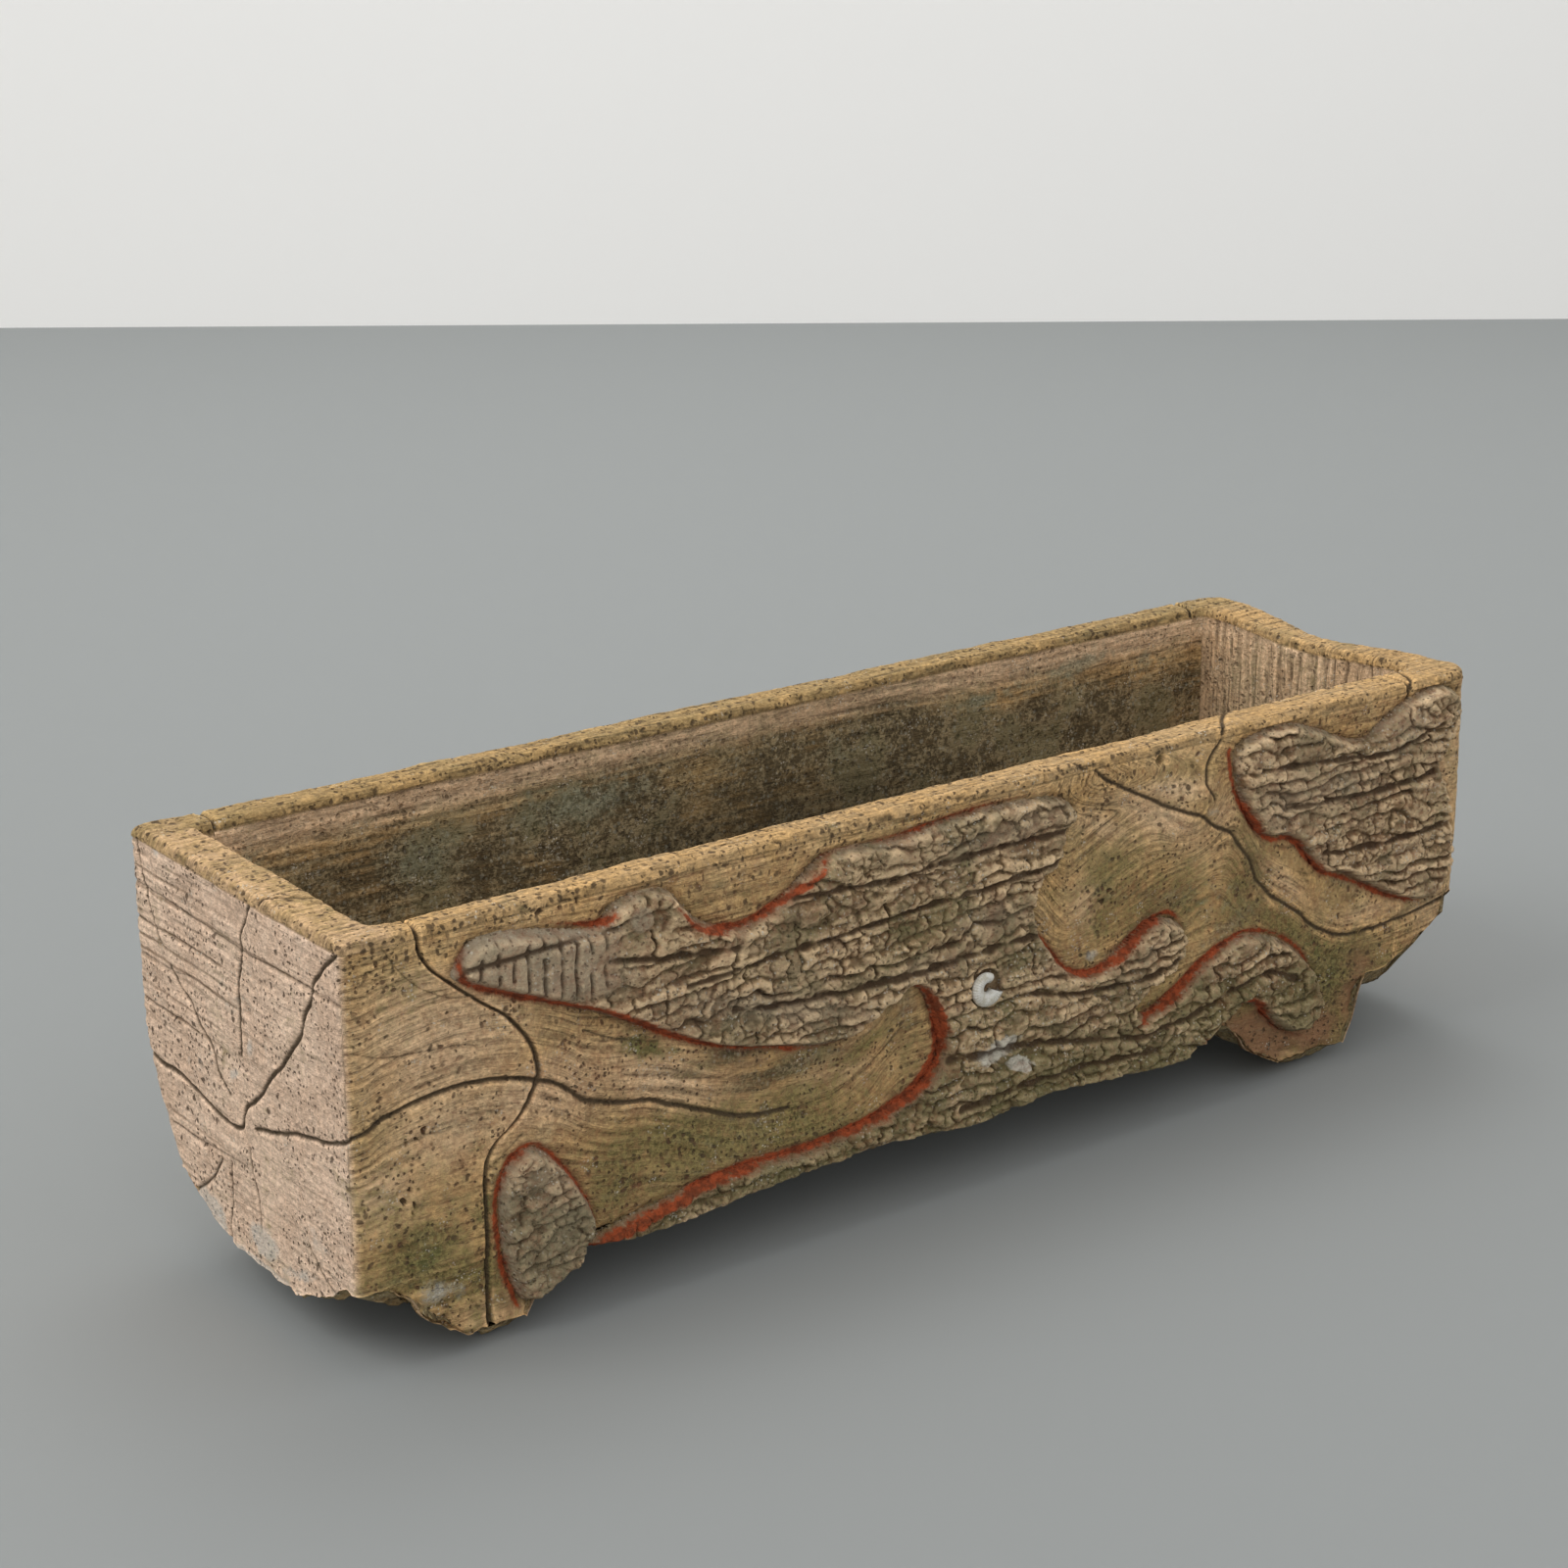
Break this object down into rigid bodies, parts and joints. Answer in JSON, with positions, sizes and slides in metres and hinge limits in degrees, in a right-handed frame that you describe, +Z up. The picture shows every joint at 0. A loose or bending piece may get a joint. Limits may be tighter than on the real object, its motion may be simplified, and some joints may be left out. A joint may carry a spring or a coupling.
{
  "type": "planter",
  "caption": "Log-shaped faux bois cement trough on root feet, with bark reliefs, an open planting space and drain holes in its floor.",
  "frame": {"origin": "on the ground, under the middle of the planter's box", "axes": "+X along the trough to its right end as seen from the front, -Y out of the show face, +Z up"},
  "size_m": [1.012, 0.314, 0.3],
  "materials": {
    "wood_cement": "weathered tan cement, modelled as bare wood",
    "bark_cement": "grey weathered cement, modelled as bark",
    "steel_rod": "plain round steel rod, buried",
    "snail_shell": "bleached snail shell"
  },
  "bodies": {
    "root": {"front_wall": "wood_cement", "back_wall": "wood_cement", "left_end": "wood_cement", "right_end": "wood_cement", "floor_slab_left": "wood_cement", "floor_slab_middle": "wood_cement", "floor_slab_right": "wood_cement", "bark_front_main": "bark_cement", "bark_front_foot": "bark_cement", "bark_front_upper": "bark_cement", "bark_back_long": "bark_cement", "bark_back_short": "bark_cement", "rim_hoop": "steel_rod", "stirrup_1": "steel_rod", "stirrup_2": "steel_rod", "stirrup_3": "steel_rod", "stirrup_4": "steel_rod", "stirrup_5": "steel_rod", "floor_rod_1": "steel_rod", "floor_rod_2": "steel_rod", "snail_shell": "snail_shell"}
  },
  "joints": []
}
